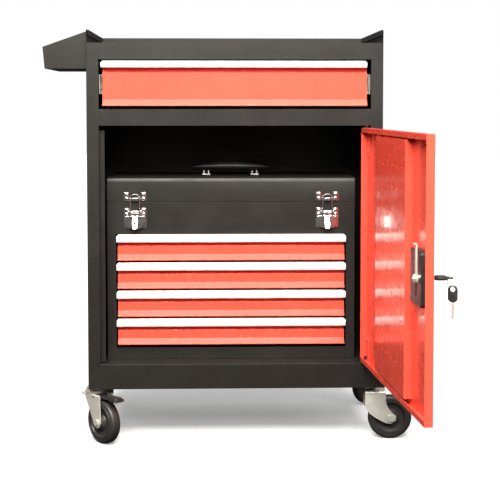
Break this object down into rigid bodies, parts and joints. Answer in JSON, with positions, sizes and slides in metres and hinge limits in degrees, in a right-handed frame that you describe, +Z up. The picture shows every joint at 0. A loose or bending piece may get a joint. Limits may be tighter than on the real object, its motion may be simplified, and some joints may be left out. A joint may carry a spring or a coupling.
{
  "type": "rolling tool box",
  "caption": "Rolling tool cabinet with swivel casters, a side tray, a top drawer and a lockable door over a portable chest of small drawers.",
  "frame": {"origin": "middle of the bounding box's base, on the floor, with the door open as stored", "axes": "+Z up, the front faces -Y, +X to the right of someone facing the front"},
  "size_m": [0.7741, 0.9632, 0.865],
  "materials": {
    "dark_coat": "fine textured satin powder coat",
    "red_coat": "gloss paint",
    "pull_white": "satin",
    "black_plastic": "satin moulded",
    "wheel_black": "satin",
    "zinc": "zinc plated",
    "chrome": "polished plate"
  },
  "bodies": {
    "cabinet": {"side_panel_left": "dark_coat", "side_panel_right": "dark_coat", "back_panel": "dark_coat", "top_tray": "dark_coat", "middle_shelf": "dark_coat", "cabinet_floor": "dark_coat", "base_pan": "dark_coat", "door_stop_strip": "dark_coat", "door_hinge_pins": "dark_coat", "slide_rails_outer": "zinc", "side_tray": "dark_coat", "side_tray_screws": "zinc", "caster_stems": "zinc", "caster_nuts": "zinc"},
    "top_drawer": {"top_drawer_box": "dark_coat", "top_drawer_front": "red_coat", "top_drawer_pull": "pull_white", "slide_rails_inner": "zinc"},
    "drawer_mid_rails": {"slide_rails_middle": "zinc"},
    "door": {"door_shell": "red_coat", "door_pegboard": "red_coat", "door_hinge_brackets": "red_coat", "door_handle_cup": "black_plastic", "lock_barrel": "chrome"},
    "lock": {"lock_cam": "zinc", "lock_key": "black_plastic"},
    "ring": {"key_ring": "zinc"},
    "spare": {"spare_key": "black_plastic"},
    "chest": {"chest_body": "dark_coat", "chest_runners": "dark_coat", "chest_hinge_lower": "zinc", "latch_bases": "chrome"},
    "lid": {"chest_lid": "dark_coat", "chest_hinge_upper": "zinc", "latch_keepers": "chrome", "handle_brackets": "chrome"},
    "handle": {"lid_handle": "black_plastic"},
    "lever_left": {"latch_lever_left": "chrome"},
    "loop_left": {"latch_loop_left": "chrome"},
    "lever_right": {"latch_lever_right": "chrome"},
    "loop_right": {"latch_loop_right": "chrome"},
    "small_drawer_1": {"chest_drawer_1": "red_coat", "chest_drawer_pull_1": "pull_white"},
    "small_drawer_2": {"chest_drawer_2": "red_coat", "chest_drawer_pull_2": "pull_white"},
    "small_drawer_3": {"chest_drawer_3": "red_coat", "chest_drawer_pull_3": "pull_white"},
    "small_drawer_4": {"chest_drawer_4": "red_coat", "chest_drawer_pull_4": "pull_white"},
    "fork_front_left": {"caster_fork_front_left": "zinc"},
    "wheel_front_left": {"caster_wheel_front_left": "wheel_black"},
    "brake_front_left": {"brake_pedal_front_left": "black_plastic"},
    "fork_front_right": {"caster_fork_front_right": "zinc"},
    "wheel_front_right": {"caster_wheel_front_right": "wheel_black"},
    "fork_back_left": {"caster_fork_back_left": "zinc"},
    "wheel_back_left": {"caster_wheel_back_left": "wheel_black"},
    "brake_back_left": {"brake_pedal_back_left": "black_plastic"},
    "fork_back_right": {"caster_fork_back_right": "zinc"},
    "wheel_back_right": {"caster_wheel_back_right": "wheel_black"}
  },
  "joints": [
    {"name": "door_hinge", "type": "hinge", "parent": "cabinet", "child": "door", "pos_m": [0.28495, 0.0716, 0.416], "axis": [0, 0, 1], "range_deg": [-94.3, 18]},
    {"name": "top_drawer_slide", "type": "slide", "parent": "cabinet", "child": "top_drawer", "axis": [0, -1, 0], "range_m": [0, 0.28]},
    {"name": "drawer_mid_rails_slide", "type": "slide", "parent": "cabinet", "child": "drawer_mid_rails", "axis": [0, -1, 0], "range_m": [0, 0.14]},
    {"name": "lock_turn", "type": "hinge", "parent": "door", "child": "lock", "pos_m": [0.32772, -0.43061, 0.4165], "axis": [0.9972, 0.075, 0], "range_deg": [0, 90]},
    {"name": "key_ring_swing", "type": "hinge", "parent": "lock", "child": "ring", "pos_m": [0.36761, -0.42761, 0.4165], "axis": [0.9972, 0.075, 0], "range_deg": [-20, 20]},
    {"name": "spare_key_swing", "type": "hinge", "parent": "ring", "child": "spare", "pos_m": [0.3728, -0.42722, 0.3986], "axis": [0.9972, 0.075, 0], "range_deg": [-15, 15]},
    {"name": "chest_slide", "type": "slide", "parent": "cabinet", "child": "chest", "axis": [0, -1, 0], "range_m": [0, 0.33]},
    {"name": "lid_hinge", "type": "hinge", "parent": "chest", "child": "lid", "pos_m": [0.00345, 0.3656, 0.5045], "axis": [-1, 0, 0], "range_deg": [0, 24]},
    {"name": "handle_fold", "type": "hinge", "parent": "lid", "child": "handle", "pos_m": [0.00345, 0.2501, 0.562], "axis": [-1, 0, 0], "range_deg": [0, 90]},
    {"name": "latch_lever_left_swing", "type": "hinge", "parent": "chest", "child": "lever_left", "pos_m": [-0.20055, 0.1156, 0.482], "axis": [-1, 0, 0], "range_deg": [0, 110]},
    {"name": "latch_loop_left_swing", "type": "hinge", "parent": "lever_left", "child": "loop_left", "pos_m": [-0.20055, 0.11199, 0.474], "axis": [-1, 0, 0], "range_deg": [-110, 0]},
    {"name": "latch_lever_right_swing", "type": "hinge", "parent": "chest", "child": "lever_right", "pos_m": [0.20745, 0.1156, 0.482], "axis": [-1, 0, 0], "range_deg": [0, 110]},
    {"name": "latch_loop_right_swing", "type": "hinge", "parent": "lever_right", "child": "loop_right", "pos_m": [0.20745, 0.11199, 0.474], "axis": [-1, 0, 0], "range_deg": [-110, 0]},
    {"name": "small_drawer_1_slide", "type": "slide", "parent": "chest", "child": "small_drawer_1", "axis": [0, -1, 0], "range_m": [0, 0.17]},
    {"name": "small_drawer_2_slide", "type": "slide", "parent": "chest", "child": "small_drawer_2", "axis": [0, -1, 0], "range_m": [0, 0.17]},
    {"name": "small_drawer_3_slide", "type": "slide", "parent": "chest", "child": "small_drawer_3", "axis": [0, -1, 0], "range_m": [0, 0.17]},
    {"name": "small_drawer_4_slide", "type": "slide", "parent": "chest", "child": "small_drawer_4", "axis": [0, -1, 0], "range_m": [0, 0.17]},
    {"name": "swivel_front_left", "type": "hinge", "parent": "cabinet", "child": "fork_front_left", "pos_m": [-0.28605, 0.0986, 0.106], "axis": [0, 0, 1], "continuous": true},
    {"name": "wheel_front_left_spin", "type": "hinge", "parent": "fork_front_left", "child": "wheel_front_left", "pos_m": [-0.2651, 0.07362, 0.0465], "axis": [0.766, 0.6428, 0], "continuous": true},
    {"name": "brake_front_left_press", "type": "hinge", "parent": "fork_front_left", "child": "brake_front_left", "pos_m": [-0.27319, 0.08327, 0.0988], "axis": [0.766, 0.6428, 0], "range_deg": [0, 8], "stiffness_Nm_per_rad": 1.5, "springref_deg": -17.19},
    {"name": "swivel_front_right", "type": "hinge", "parent": "cabinet", "child": "fork_front_right", "pos_m": [0.30795, 0.0986, 0.106], "axis": [0, 0, 1], "continuous": true},
    {"name": "wheel_front_right_spin", "type": "hinge", "parent": "fork_front_right", "child": "wheel_front_right", "pos_m": [0.34055, 0.0986, 0.0465], "axis": [0, 1, 0], "continuous": true},
    {"name": "swivel_back_left", "type": "hinge", "parent": "cabinet", "child": "fork_back_left", "pos_m": [-0.28605, 0.3896, 0.106], "axis": [0, 0, 1], "continuous": true},
    {"name": "wheel_back_left_spin", "type": "hinge", "parent": "fork_back_left", "child": "wheel_back_left", "pos_m": [-0.28605, 0.42219, 0.0465], "axis": [-1, 0, 0], "continuous": true},
    {"name": "brake_back_left_press", "type": "hinge", "parent": "fork_back_left", "child": "brake_back_left", "pos_m": [-0.28605, 0.40959, 0.0988], "axis": [-1, 0, 0], "range_deg": [0, 8], "stiffness_Nm_per_rad": 1.5, "springref_deg": -17.19},
    {"name": "swivel_back_right", "type": "hinge", "parent": "cabinet", "child": "fork_back_right", "pos_m": [0.30795, 0.3896, 0.106], "axis": [0, 0, 1], "continuous": true},
    {"name": "wheel_back_right_spin", "type": "hinge", "parent": "fork_back_right", "child": "wheel_back_right", "pos_m": [0.33465, 0.40829, 0.0465], "axis": [-0.5736, 0.8192, 0], "continuous": true}
  ],
  "couplings": [
    {"joint": "drawer_mid_rails_slide", "follows": "top_drawer_slide", "ratio": 0.5},
    {"joint": "latch_loop_left_swing", "follows": "latch_lever_left_swing", "ratio": -1},
    {"joint": "latch_loop_right_swing", "follows": "latch_lever_right_swing", "ratio": -1}
  ]
}
